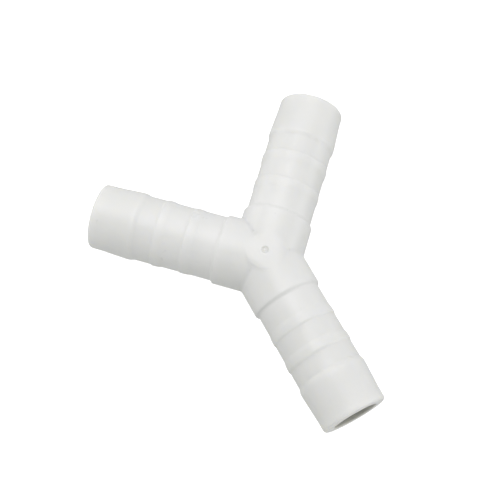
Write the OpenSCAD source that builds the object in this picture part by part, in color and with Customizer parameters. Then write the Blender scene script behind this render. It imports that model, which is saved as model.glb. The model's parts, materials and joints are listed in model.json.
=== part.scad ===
// Barbed Y hose connector: three equal barbed spigots on one junction, for pushing hose over.
// Frame: the origin is where the three bore axes meet, all three lie in the plane z = 0, the
// stem runs along -Y and the two branches run toward +Y, one to each side. +Z is the gate side.

/* [Junction] */
// Outside diameter of the junction tubes
tube_d = 14.3; // [14.3:0.1:15]
// Diameter of the bore through every arm
bore_d = 9; // [7:0.2:9.8]
// Angle between the two branches
branch_angle = 90; // [80:5:120]
// Distance from the centre to the shoulder of each arm
shoulder_at = 9.9; // [9.5:0.1:11]
// Rounding of the shoulder's outer edge
shoulder_round = 0.35; // [0.1:0.05:0.4]
// Length of the slope at the foot of the shoulder
shoulder_foot = 0.35; // [0.2:0.05:0.5]
// Diameter of the flat gate pad on the top
pad_d = 7.2; // [6:0.2:9]
// Height of the gate pad above the tubes, almost flush
pad_rise = 0.06; // [0.06:0.02:0.3]
// Diameter of the gate mark in the pad
gate_d = 1.4; // [1:0.1:2]
// Depth of the gate mark
gate_depth = 0.25; // [0.1:0.05:0.5]

/* [Spigots] */
// Distance from the centre to the end of each spigot
arm_len = 35.5; // [35:0.5:42]
// Diameter of the spigot between the shoulder and the first ring
root_d = 13.3; // [12.8:0.05:13.35]
// Diameter of the spigot between the second ring and the end barb
neck_d = 13.4; // [13.35:0.05:13.5]
// Diameter of the first ring
first_ring_d = 13.6; // [13.55:0.05:13.9]
// Diameter of the second ring
second_ring_d = 13.75; // [13.6:0.05:13.95]
// Diameter of the end barb, the largest, which holds the hose
end_barb_d = 14; // [13.8:0.1:14.2]
// Diameter of the end of the spigot
nose_d = 13.4; // [12.6:0.1:13.5]
// Rounding of the outer edge at the end of the spigot
nose_round = 0.7; // [0.2:0.1:0.8]
// Rounding of the bore's edge at the end of the spigot
mouth_round = 0.3; // [0.1:0.1:0.4]

/* [Ring positions] */
// Distance from the centre to the middle of the first ring's steep face
first_ring_at = 14.3; // [13.5:0.1:15]
// Distance from the centre to the middle of the second ring's steep face
second_ring_at = 20.4; // [19:0.1:21]
// Distance from the centre to the middle of the end barb's steep face
end_barb_at = 26.3; // [25:0.1:27]
// Length of the first and second rings, from the middle of the steep face to the slope
ring_land = 1.6; // [1:0.1:1.7]
// Length of the slope behind the first and second rings
ring_slope = 0.5; // [0.3:0.1:1.2]
// Length along the spigot of each steep face
face_run = 0.1; // [0.1:0.1:0.6]
// Length of the end barb, from the middle of the steep face to the taper
end_land = 1.2; // [0.8:0.1:1.4]
// Length of the long taper in front of the end barb
end_taper = 5.4; // [4:0.2:5.6]

/* [Hidden] */
$fn = 96;
plastic = [0.93, 0.93, 0.92];
tube_r = tube_d / 2;
bore_r = bore_d / 2;
nose_r = nose_d / 2;
// how far the rounding ball at the centre stands out of the tubes
centre_round = 0.04;
// direction of each arm in the plane, counted from +X: stem, left branch, right branch
arm_dir = [270, 90 + branch_angle / 2, 90 - branch_angle / 2];
// outer outline of a spigot as [radius, distance from the centre], shoulder to nose
spigot_outline = [
  [tube_r - shoulder_round, shoulder_at],
  [root_d / 2, shoulder_at + shoulder_foot],
  [root_d / 2, first_ring_at - face_run / 2],
  [first_ring_d / 2, first_ring_at + face_run / 2],
  [first_ring_d / 2, first_ring_at + ring_land],
  [root_d / 2 + 0.02, first_ring_at + ring_land + ring_slope],
  [root_d / 2 + 0.02, second_ring_at - face_run / 2],
  [second_ring_d / 2, second_ring_at + face_run / 2],
  [second_ring_d / 2, second_ring_at + ring_land],
  [neck_d / 2, second_ring_at + ring_land + ring_slope],
  [neck_d / 2, end_barb_at - face_run / 2],
  [end_barb_d / 2, end_barb_at + face_run / 2],
  [end_barb_d / 2, end_barb_at + end_land],
  [nose_r, end_barb_at + end_land + end_taper],
  [nose_r, arm_len - nose_round]
];

// turns a shape built up +Z so that it runs along arm i
module along_arm(i) {
  rotate([0, 0, arm_dir[i]]) rotate([0, 90, 0]) children();
}

// one junction tube, solid, from the centre to its shoulder, with a rounded outer edge
module hub_tube() {
  rotate_extrude() {
    polygon([
      [0, 0],
      [tube_r, 0],
      [tube_r, shoulder_at - shoulder_round],
      [tube_r - shoulder_round, shoulder_at],
      [0, shoulder_at]
    ]);
    translate([tube_r - shoulder_round, shoulder_at - shoulder_round]) circle(r = shoulder_round);
  }
}

// one barbed spigot: two low rings, then the end barb with its long taper and a rounded nose
module spigot(i) {
  along_arm(i) rotate_extrude() {
    polygon(concat(
      [[bore_r, shoulder_at]],
      spigot_outline,
      [
        [nose_r - nose_round, arm_len],
        [bore_r + mouth_round, arm_len],
        [bore_r, arm_len - mouth_round]
      ]
    ));
    translate([nose_r - nose_round, arm_len - nose_round]) circle(r = nose_round);
    translate([bore_r + mouth_round, arm_len - mouth_round]) circle(r = mouth_round);
  }
}

// junction of the three tubes, with the round gate pad and the gate mark on the top; a ball at
// the centre, hardly larger than the tubes, rounds the point where all three meet, inside and out
module junction_hub() {
  color(plastic) difference() {
    union() {
      for (i = [0:2]) along_arm(i) hub_tube();
      sphere(r = tube_r + centre_round);
      cylinder(d = pad_d, h = tube_r + pad_rise);
    }
    for (i = [0:2]) along_arm(i) cylinder(r = bore_r, h = shoulder_at + 1);
    sphere(r = bore_r + centre_round);
    translate([0, 0, tube_r + pad_rise - gate_depth]) cylinder(d = gate_d, h = gate_depth + 1);
  }
}

// barbed spigot of the stem
module stem_spigot() {
  color(plastic) spigot(0);
}

// barbed spigot of the left branch
module left_branch_spigot() {
  color(plastic) spigot(1);
}

// barbed spigot of the right branch
module right_branch_spigot() {
  color(plastic) spigot(2);
}

junction_hub();
stem_spigot();
left_branch_spigot();
right_branch_spigot();
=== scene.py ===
"""Looks of the barbed Y hose connector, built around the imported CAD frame. Metres, same frame as the CAD."""
import json
import math

import bmesh
import bpy
import numpy as np
from mathutils import Matrix, Vector


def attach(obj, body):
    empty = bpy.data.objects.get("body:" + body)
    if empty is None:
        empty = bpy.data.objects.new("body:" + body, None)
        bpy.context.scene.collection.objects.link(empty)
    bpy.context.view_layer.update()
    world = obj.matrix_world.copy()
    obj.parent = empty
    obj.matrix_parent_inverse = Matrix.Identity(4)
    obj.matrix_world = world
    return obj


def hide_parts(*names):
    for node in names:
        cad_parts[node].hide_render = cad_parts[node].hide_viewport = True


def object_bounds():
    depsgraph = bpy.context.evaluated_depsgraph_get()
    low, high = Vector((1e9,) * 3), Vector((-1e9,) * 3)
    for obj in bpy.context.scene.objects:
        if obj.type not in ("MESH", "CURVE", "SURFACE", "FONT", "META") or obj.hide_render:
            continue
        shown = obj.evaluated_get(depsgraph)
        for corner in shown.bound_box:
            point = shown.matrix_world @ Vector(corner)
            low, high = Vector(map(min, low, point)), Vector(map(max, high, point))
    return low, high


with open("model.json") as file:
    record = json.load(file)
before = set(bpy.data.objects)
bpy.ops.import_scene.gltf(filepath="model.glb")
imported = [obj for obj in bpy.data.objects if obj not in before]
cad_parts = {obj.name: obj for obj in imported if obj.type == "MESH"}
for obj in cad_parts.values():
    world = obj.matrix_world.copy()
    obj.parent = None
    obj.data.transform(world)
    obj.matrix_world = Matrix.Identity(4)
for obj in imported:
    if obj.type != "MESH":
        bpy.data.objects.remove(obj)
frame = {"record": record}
cad_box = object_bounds()

MM = 0.001
Z_AXIS = np.array([0.0, 0.0, 1.0])

# ---------------------------------------------------------------- sizes, in mm
TUBE_R = 7.15          # junction tubes
SHOULDER_AT = 9.9      # where the junction ends and a spigot begins
SPIGOT_R = 6.65        # spigot at the foot of the shoulder
SHOULDER_LONG = 1.05   # length of the junction's S-shaped shoulder
BORE_R = 4.5
NOSE_ROUND = 0.7
MOUTH_ROUND = 0.3
ARM_LEN = 35.5
CREASE_ROUND = 0.35    # fillet where two tubes meet
PAD_R = 4.0            # round gate pad on top of the junction, almost flush with the tubes
PAD_TOP = 7.16
PAD_BLEND = 0.45       # half the width of the slope round the pad
PAD_EDGE = 0.18        # height of the crowned pad's edge, as a share of what a flat pad would have
PAD_FLAT_R = 1.3       # level middle of the pad
PATCH_R = 4.8          # the round patch of mesh that holds the pad
FLASH_H = 0.03         # parting line, a hairline ridge round the middle plane
FLASH_W = 0.13

# the shoulder is two equal arcs, one outward and one inward: their angle and radius
SHOULDER_TURN = 2 * math.atan((TUBE_R - SPIGOT_R) / SHOULDER_LONG)
SHOULDER_ARC = SHOULDER_LONG / (2 * math.sin(SHOULDER_TURN))

# outline of a spigot from the shoulder to the nose: (distance along the arm, radius, corner rounding);
# its steps are longer and softer than the CAD's
SPIGOT = [
    (9.9, 6.65, 0),
    # first ring
    (13.95, 6.65, 1.4),
    (14.65, 6.79, 1.4),
    (15.95, 6.82, 0.5),
    (16.35, 6.66, 0.6),
    # second ring
    (20.0, 6.67, 1.4),
    (20.75, 6.86, 1.4),
    (21.95, 6.89, 0.5),
    (22.4, 6.70, 0.6),
    # end barb and its long taper
    (25.9, 6.70, 1.3),
    (26.7, 7.0, 1.3),
    (27.6, 6.995, 1.5),
    (32.9, 6.70, 2.5),
]

# the gate mark, a dimple with a raised rim and middle: (distance from its centre, depth below the pad)
GATE_MARK = [
    (1.05, 0),
    (0.90, -0.015),
    (0.80, -0.015),
    (0.74, 0.02),
    (0.70, 0.07),
    (0.67, 0.17),
    (0.60, 0.23),
    (0.45, 0.25),
    (0.30, 0.24),
    (0.20, 0.20),
    (0.12, 0.17),
]

# arms: outward direction in degrees from +X, and the angle to the next arm on each side
ARMS = {
    "stem": (270.0, 135.0, 135.0),
    "left_branch": (135.0, 135.0, 90.0),
    "right_branch": (45.0, 90.0, 135.0),
}


def arm_axes(name):
    """Outward and leftward unit vectors of an arm; the outward one is the CAD's own bore axis."""
    mount = next(m for m in frame["record"]["mounts"] if m["name"] == name + "_bore")
    u = np.array(mount["axis"], float)
    return u, np.array([-u[1], u[0], 0.0])


# ---------------------------------------------------------------- mesh helpers
def make_object(name, verts_mm, faces, merge_mm=0.0, sharp_deg=40.0):
    mesh = bpy.data.meshes.new(name)
    mesh.from_pydata([tuple(v * MM) for v in verts_mm], [], faces)
    bm = bmesh.new()
    bm.from_mesh(mesh)
    if merge_mm:
        bmesh.ops.remove_doubles(bm, verts=bm.verts, dist=merge_mm * MM)
        bmesh.ops.dissolve_degenerate(bm, edges=bm.edges, dist=merge_mm * MM * 0.1)
    bmesh.ops.recalc_face_normals(bm, faces=bm.faces)
    for f in bm.faces:
        f.smooth = True
    bm.to_mesh(mesh)
    bm.free()
    mesh.set_sharp_from_angle(angle=math.radians(sharp_deg))
    obj = bpy.data.objects.new(name, mesh)
    bpy.context.scene.collection.objects.link(obj)
    return obj


def rounded(points, step_deg=15.0):
    """A polyline with each corner (x, y, radius) replaced by an arc."""
    out = []
    for i, (x, y, r) in enumerate(points):
        p = np.array([x, y])
        if r <= 0 or i in (0, len(points) - 1):
            out.append(p)
            continue
        a = np.array(points[i - 1][:2]) - p
        b = np.array(points[i + 1][:2]) - p
        la, lb = np.linalg.norm(a), np.linalg.norm(b)
        a, b = a / la, b / lb
        half = math.acos(max(-1, min(1, float(a @ b)))) / 2
        cut = min(r / math.tan(half), 0.45 * la, 0.45 * lb)
        r = cut * math.tan(half)
        mid = (a + b) / np.linalg.norm(a + b)
        centre = p + mid * r / math.sin(half)
        t0, t1 = p + a * cut - centre, p + b * cut - centre
        turn = math.pi - 2 * half
        n = max(2, int(math.ceil(math.degrees(turn) / step_deg)) + 1)
        for k in range(n):
            s = k / (n - 1)
            w = (math.sin((1 - s) * turn) * t0 + math.sin(s * turn) * t1) / math.sin(turn)
            out.append(centre + w)
    return out


def densify(points, longest):
    """Adds points so that no step is longer than longest."""
    out = [points[0]]
    for a, b in zip(points, points[1:]):
        n = max(1, int(math.ceil(np.linalg.norm(b - a) / longest)))
        out += [a + (b - a) * k / n for k in range(1, n + 1)]
    return out


def flash(z):
    """Height of the parting line's ridge at height z."""
    return FLASH_H * np.clip(1 - np.abs(z) / FLASH_W, 0, 1)


# ---------------------------------------------------------------- a barbed spigot
def spigot_profile():
    nose_r = SPIGOT[-1][1]
    end = [(ARM_LEN, nose_r, NOSE_ROUND), (ARM_LEN, BORE_R, MOUTH_ROUND), (SHOULDER_AT, BORE_R, 0)]
    return densify(rounded(SPIGOT + end), longest=0.9)


def build_spigot(arm, name):
    u, v = arm_axes(arm)
    profile = spigot_profile()
    fine = math.degrees(FLASH_W / 6.7)
    turns = [0, fine / 2, fine] + list(np.arange(2.5, 178, 2.5)) + [180 - fine, 180 - fine / 2]
    phi = np.radians(np.array(turns + [t + 180 for t in turns]))
    verts, faces = [], []
    n = len(phi)
    for c, r in profile:
        outside = r > BORE_R + 0.6
        for a in phi:
            z = r * math.sin(a)
            rr = r + (flash(z) if outside else 0.0)
            verts.append(u * c + rr * (math.cos(a) * v + math.sin(a) * Z_AXIS))
    rows = len(profile)
    for i in range(rows):
        j = (i + 1) % rows
        for k in range(n):
            m = (k + 1) % n
            faces.append((i * n + k, i * n + m, j * n + m, j * n + k))
    return make_object(name, verts, faces)


# ---------------------------------------------------------------- the junction
def tube_distance(p):
    """Signed distance to the three junction tubes, with a small fillet where two of them meet."""
    ds, gs = [], []
    for arm in ARMS:
        u, _ = arm_axes(arm)
        along = np.maximum(p @ u, 0)[:, None]
        q = p - along * u
        h = np.linalg.norm(q, axis=1)
        ds.append(h - TUBE_R)
        gs.append(q / h[:, None])
    d = ds[0]
    for i in (1, 2):
        dot = np.minimum.reduce([np.einsum("ij,ij->i", gs[i], gs[k]) for k in range(i)])
        r = CREASE_ROUND * np.clip((1 - dot) / 0.2, 0, 1)
        near = np.hypot(np.maximum(r - d, 0), np.maximum(r - ds[i], 0))
        d = np.maximum(r, np.minimum(d, ds[i])) - near
    return d


def settle(p, direction=None):
    """Moves points onto the tubes' surface, along its normal or along a given direction."""
    p = p.copy()
    e = 1e-3
    for _ in range(6):
        d = tube_distance(p)
        slopes = [(tube_distance(p + e * k) - tube_distance(p - e * k)) / (2 * e) for k in np.eye(3)]
        g = np.stack(slopes, 1)
        if direction is None:
            p -= d[:, None] * g / np.maximum((g * g).sum(1), 0.2)[:, None]
        else:
            p -= (d / np.maximum(g @ direction, 0.2))[:, None] * direction
    return p


def column_angles(left_turn, right_turn):
    """Angles round a junction tube, from its left side over the top to its right side and back underneath."""
    def quarter(turn, top):
        side = [math.asin(z / TUBE_R) for z in (0.0, FLASH_W / 2, FLASH_W)]
        if top:
            edge = math.acos(PATCH_R * math.sin(math.radians(turn / 2)) / TUBE_R)
            side += list(np.linspace(side[-1], edge, 19)[1:-1])
            thetas = np.arange(turn / 2, 1e-6, -2.5)
            return side + [math.acos(PATCH_R * math.sin(math.radians(t)) / TUBE_R) for t in thetas]
        return side + list(np.linspace(side[-1], math.pi / 2, 30)[1:-1])
    over = quarter(left_turn, True) + [math.pi / 2]
    over += [math.pi - a for a in reversed(quarter(right_turn, True))]
    under = [math.pi + a for a in quarter(right_turn, False)[1:]] + [1.5 * math.pi]
    under += [2 * math.pi - a for a in reversed(quarter(left_turn, False)[1:])]
    return over + under


def build_junction(name):
    verts, faces = [], []
    rim = {}
    shoulder_start = SHOULDER_AT - SHOULDER_LONG
    # places along a tube as shares of its length, closer together near the fillets
    crowd = np.concatenate([np.linspace(0, 0.9, 7) ** 1.3 * 0.13, np.linspace(0.13, 1, 9)])
    bore_crowd = (1.0, 0.8, 0.6, 0.45, 0.3, 0.15, 0.0)
    for arm, (heading, left_turn, right_turn) in ARMS.items():
        u, v = arm_axes(arm)
        angles = column_angles(left_turn, right_turn)
        rows_out, rows_in, first = [], [], []
        for a in angles:
            h, z = TUBE_R * math.cos(a), TUBE_R * math.sin(a)
            slope = math.tan(math.radians((left_turn if h > 0 else right_turn) / 2))
            start = abs(h) / slope
            on_patch = z > 0 and abs(h) < PATCH_R and math.sqrt(PATCH_R**2 - h * h) > start - 1e-9
            if on_patch:
                start = math.sqrt(PATCH_R**2 - h * h)
            tube_long = shoulder_start - start
            rows_out.append([u * (start + t * tube_long) + h * v + z * Z_AXIS for t in crowd])
            first.append(on_patch)
            hb, zb = BORE_R * math.cos(a), BORE_R * math.sin(a)
            bore_start = abs(hb) / slope
            bore_long = SHOULDER_AT - bore_start
            rows_in.append([u * (bore_start + t * bore_long) + hb * v + zb * Z_AXIS for t in bore_crowd])
        flat = settle(np.array(rows_out).reshape(-1, 3))
        radial = flat - (flat @ u)[:, None] * u
        flat += radial / np.linalg.norm(radial, axis=1)[:, None] * flash(flat[:, 2])[:, None]
        grid = flat.reshape(len(angles), len(crowd), 3)
        for i, a in enumerate(angles):
            column = list(grid[i])
            spoke = math.cos(a) * v + math.sin(a) * Z_AXIS
            ridge = float(flash(TUBE_R * math.sin(a)))
            for t in np.linspace(0, SHOULDER_TURN, 7)[1:]:
                r = TUBE_R - SHOULDER_ARC * (1 - math.cos(t)) + ridge
                column.append(u * (shoulder_start + SHOULDER_ARC * math.sin(t)) + r * spoke)
            for t in np.linspace(SHOULDER_TURN, 0, 7)[1:]:
                r = SPIGOT_R + SHOULDER_ARC * (1 - math.cos(t)) + ridge
                column.append(u * (SHOULDER_AT - SHOULDER_ARC * math.sin(t)) + r * spoke)
            column.append(u * SHOULDER_AT + 0.5 * (SPIGOT_R + BORE_R) * spoke)
            column += rows_in[i]
            if first[i]:
                p = column[0]
                rim[round(math.degrees(math.atan2(p[1], p[0])) % 360, 3)] = p
            base = len(verts)
            verts += column
            if i == 0:
                start_base = base
            size = len(column)
            nxt = base + size if i + 1 < len(angles) else start_base
            for k in range(size - 1):
                faces.append((base + k, nxt + k, nxt + k + 1, base + k + 1))
    # the patch with the gate pad and the gate mark: rings round the centre
    turn = sorted(rim)
    around = np.radians(np.array(turn))

    def circle(rho):
        return np.full(len(around), rho)

    def tube_height(rho):
        """Heights of the tubes' own surface under a circle round the centre."""
        start = np.stack([rho * np.cos(around), rho * np.sin(around), circle(7.0)], 1)
        return settle(start, Z_AXIS)[:, 2]

    rings = [(circle(PATCH_R), np.array([rim[t][2] for t in turn]))]
    slope_radii = np.linspace(PAD_R + PAD_BLEND, PAD_R - PAD_BLEND, 11)
    crown_radii = np.arange(PAD_R - 0.5, PAD_FLAT_R, -0.22)
    for rho in np.concatenate([slope_radii, crown_radii]):
        t = np.clip((PAD_R + PAD_BLEND - rho) / (2 * PAD_BLEND), 0, 1)
        crown = np.clip((PAD_R - rho) / (PAD_R - PAD_FLAT_R), 0, 1)
        share = t * t * (3 - 2 * t) * (PAD_EDGE + (1 - PAD_EDGE) * crown * (2 - crown))
        low = tube_height(rho)
        rings.append((circle(rho), low + (PAD_TOP - low) * share))
    for rho, drop in GATE_MARK:
        rings.append((circle(rho), circle(PAD_TOP - drop)))
    base = len(verts)
    n = len(around)
    for rho, z in rings:
        for i in range(n):
            verts.append(np.array([rho[i] * math.cos(around[i]), rho[i] * math.sin(around[i]), z[i]]))
    for r in range(len(rings) - 1):
        for i in range(n):
            j = (i + 1) % n
            upper, lower = base + r * n, base + (r + 1) * n
            faces.append((upper + i, upper + j, lower + j, lower + i))
    verts.append(np.array([0, 0, PAD_TOP - GATE_MARK[-1][1]]))
    last = base + (len(rings) - 1) * n
    faces += [(last + i, last + (i + 1) % n, len(verts) - 1) for i in range(n)]
    return make_object(name, verts, faces, merge_mm=0.004)


pieces = {
    "junction_body": (build_junction("junction_body"), "junction_hub"),
    "stem_barbs": (build_spigot("stem", "stem_barbs"), "stem_spigot"),
    "left_branch_barbs": (build_spigot("left_branch", "left_branch_barbs"), "left_branch_spigot"),
    "right_branch_barbs": (build_spigot("right_branch", "right_branch_barbs"), "right_branch_spigot"),
}


# ---------------------------------------------------------------- materials
SPREAD_WEIGHT = 0.9    # how much of the light spreads inside the plastic


def plastic_material(name):
    mat = bpy.data.materials.new(name)
    mat.use_nodes = True
    nt = mat.node_tree
    bsdf = nt.nodes["Principled BSDF"]
    coord = nt.nodes.new("ShaderNodeTexCoord")

    def noise(scale, detail, rough=0.5):
        n = nt.nodes.new("ShaderNodeTexNoise")
        n.inputs["Scale"].default_value = scale
        n.inputs["Detail"].default_value = detail
        n.inputs["Roughness"].default_value = rough
        nt.links.new(coord.outputs["Object"], n.inputs["Vector"])
        return n

    # faint clouds of tone
    cloud = noise(90, 3)
    ramp = nt.nodes.new("ShaderNodeValToRGB")
    ramp.color_ramp.elements[0].position = 0.3
    ramp.color_ramp.elements[0].color = (0.759, 0.765, 0.752, 1)
    ramp.color_ramp.elements[1].position = 0.7
    ramp.color_ramp.elements[1].color = (0.799, 0.803, 0.796, 1)
    nt.links.new(cloud.outputs["Fac"], ramp.inputs["Fac"])

    # patches that are a little duller than others
    streak = noise(260, 4)
    rough = nt.nodes.new("ShaderNodeMapRange")
    rough.inputs["To Min"].default_value = 0.24
    rough.inputs["To Max"].default_value = 0.36
    nt.links.new(streak.outputs["Fac"], rough.inputs["Value"])
    nt.links.new(rough.outputs["Result"], bsdf.inputs["Roughness"])

    # fine mould grain over the slow waves of a shrunk moulding
    grain = noise(2600, 2)
    wave = noise(420, 3, 0.45)
    fine = nt.nodes.new("ShaderNodeBump")
    fine.inputs["Strength"].default_value = 0.2
    fine.inputs["Distance"].default_value = 0.00002
    nt.links.new(grain.outputs["Fac"], fine.inputs["Height"])
    soft = nt.nodes.new("ShaderNodeBump")
    soft.inputs["Strength"].default_value = 0.6
    soft.inputs["Distance"].default_value = 0.0001
    nt.links.new(wave.outputs["Fac"], soft.inputs["Height"])
    nt.links.new(soft.outputs["Normal"], fine.inputs["Normal"])
    nt.links.new(fine.outputs["Normal"], bsdf.inputs["Normal"])

    def math_node(operation, *values):
        n = nt.nodes.new("ShaderNodeMath")
        n.operation = operation
        for socket, value in zip(n.inputs, values):
            if isinstance(value, float):
                socket.default_value = value
            else:
                nt.links.new(value, socket)
        return n.outputs["Value"]

    def vector_node(operation, first, second):
        n = nt.nodes.new("ShaderNodeVectorMath")
        n.operation = operation
        nt.links.new(first, n.inputs[0])
        if isinstance(second, np.ndarray):
            n.inputs[1].default_value = second
        elif second is not None:
            nt.links.new(second, n.inputs[1])
        return n

    # distance along the nearest arm, and distance from the nearest arm's axis
    along = off_axis = None
    for arm in ARMS:
        u, _ = arm_axes(arm)
        dot = vector_node("DOT_PRODUCT", coord.outputs["Object"], u).outputs["Value"]
        foot = nt.nodes.new("ShaderNodeVectorMath")
        foot.operation = "SCALE"
        foot.inputs[0].default_value = u
        nt.links.new(math_node("MAXIMUM", dot, 0.0), foot.inputs["Scale"])
        away = vector_node("SUBTRACT", coord.outputs["Object"], foot.outputs["Vector"]).outputs["Vector"]
        off = vector_node("LENGTH", away, None).outputs["Value"]
        along = dot if along is None else math_node("MAXIMUM", along, dot)
        off_axis = off if off_axis is None else math_node("MINIMUM", off_axis, off)

    # painted shade: the wall of the bore is painted a darker colour than the outside, standing in for the
    # shade deep inside the bore
    outside = nt.nodes.new("ShaderNodeMapRange")
    outside.interpolation_type = "SMOOTHSTEP"
    outside.inputs["From Min"].default_value = (BORE_R + 0.02) * MM
    outside.inputs["From Max"].default_value = (BORE_R + MOUTH_ROUND) * MM
    nt.links.new(off_axis, outside.inputs["Value"])
    bore_painted_shade = nt.nodes.new("ShaderNodeMixRGB")
    # the bore wall's painted shade colour, not the plastic's own colour
    bore_painted_shade.inputs["Color1"].default_value = (0.50, 0.50, 0.47, 1)
    nt.links.new(outside.outputs["Result"], bore_painted_shade.inputs["Fac"])
    nt.links.new(ramp.outputs["Color"], bore_painted_shade.inputs["Color2"])
    nt.links.new(bore_painted_shade.outputs["Color"], bsdf.inputs["Base Color"])

    # light spreads inside the plastic, except close to where two pieces of the moulding's mesh meet
    far = math_node("ABSOLUTE", math_node("SUBTRACT", along, SHOULDER_AT * MM))
    spread = nt.nodes.new("ShaderNodeMapRange")
    spread.interpolation_type = "SMOOTHSTEP"
    spread.inputs["From Min"].default_value = 0.0006
    spread.inputs["From Max"].default_value = 0.0030
    spread.inputs["To Max"].default_value = SPREAD_WEIGHT
    nt.links.new(far, spread.inputs["Value"])
    nt.links.new(spread.outputs["Result"], bsdf.inputs["Subsurface Weight"])
    bsdf.inputs["Subsurface Radius"].default_value = (1.0, 0.97, 0.85)
    bsdf.inputs["Subsurface Scale"].default_value = 0.0018
    bsdf.inputs["IOR"].default_value = 1.49
    return mat


natural_white = plastic_material("natural_white_plastic")
for piece, node in pieces.values():
    piece.data.materials.append(natural_white)
    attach(piece, "root")
    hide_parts(node)

# ---------------------------------------------------------------- floor, light, camera
floor_mesh = bpy.data.meshes.new("floor")
side = 1.5
floor_z = cad_box[0].z
corners = [(-side, -side, floor_z), (side, -side, floor_z), (side, side, floor_z), (-side, side, floor_z)]
floor_mesh.from_pydata(corners, [], [(0, 1, 2, 3)])
floor = bpy.data.objects.new("floor", floor_mesh)
bpy.context.scene.collection.objects.link(floor)
paper = bpy.data.materials.new("white_paper")
paper.use_nodes = True
sheet = paper.node_tree.nodes["Principled BSDF"]
sheet.inputs["Base Color"].default_value = (0.9, 0.9, 0.9, 1)
sheet.inputs["Roughness"].default_value = 0.9
sheet.inputs["Emission Color"].default_value = (1, 1, 1, 1)
sheet.inputs["Emission Strength"].default_value = 0.8
floor.data.materials.append(paper)
# the sheet is bright enough to show white, and doesn't light the moulding's flanks from below
floor.visible_diffuse = False
floor.visible_glossy = False

world = bpy.data.worlds.new("studio")
world.use_nodes = True
world.node_tree.nodes["Background"].inputs["Color"].default_value = (0.993, 1.0, 0.982, 1)
world.node_tree.nodes["Background"].inputs["Strength"].default_value = 0.594
bpy.context.scene.world = world

# soft boxes, all aimed at the junction:
# name, heading and height in degrees, distance and size in metres, power in watts, colour
LIGHTS = [
    ("overhead_box", 90, 74, 0.22, 0.15, 0.108, (0.98, 0.95, 1.0)),
    ("back_box", 90, 50, 0.22, 0.15, 0.010, (0.90, 0.90, 1.0)),
    ("back_right_box", 60, 60, 0.28, 0.30, 0.140, (1.0, 0.98, 0.98)),
    ("back_left_box", 130, 20, 0.5, 0.35, 0.375, (1.0, 0.98, 0.93)),
    ("left_strip", 216, 54, 0.4, 0.06, 0.020, (1.0, 1.0, 1.0)),
    ("right_box", -30, 12, 1.0, 0.60, 1.38, (0.97, 0.97, 1.0)),
    ("front_box", -62, 24, 1.0, 0.60, 0.95, (1.0, 0.97, 0.94)),
]
for name, heading, height, distance, size, power, colour in LIGHTS:
    data = bpy.data.lights.new(name, "AREA")
    data.shape = "SQUARE"
    data.size = size
    data.energy = power
    data.color = colour
    lamp = bpy.data.objects.new(name, data)
    bpy.context.scene.collection.objects.link(lamp)
    a, e = math.radians(heading), math.radians(height)
    out = Vector((math.cos(a) * math.cos(e), math.sin(a) * math.cos(e), math.sin(e)))
    lamp.location = out * distance
    lamp.rotation_euler = out.to_track_quat("Z", "Y").to_euler()

# camera: high above the stem's left, looking down at the junction
CAMERA_AT = Vector((-0.0301, -0.0550, 0.1853))
CAMERA_AIM = Vector((-0.0015, 0.0036, 0.0))
CAMERA_ROLL = math.radians(-2.7)
camera_data = bpy.data.cameras.new("camera")
camera_data.sensor_width = 36.0
camera_data.lens = 70.1
camera_data.clip_start, camera_data.clip_end = 0.005, 10.0
camera = bpy.data.objects.new("camera", camera_data)
bpy.context.scene.collection.objects.link(camera)
camera.matrix_world = (
    Matrix.Translation(CAMERA_AT)
    @ (CAMERA_AIM - CAMERA_AT).to_track_quat("-Z", "Y").to_matrix().to_4x4()
    @ Matrix.Rotation(CAMERA_ROLL, 4, "Z")
)
bpy.context.scene.camera = camera
bpy.context.scene.view_settings.view_transform = "Standard"
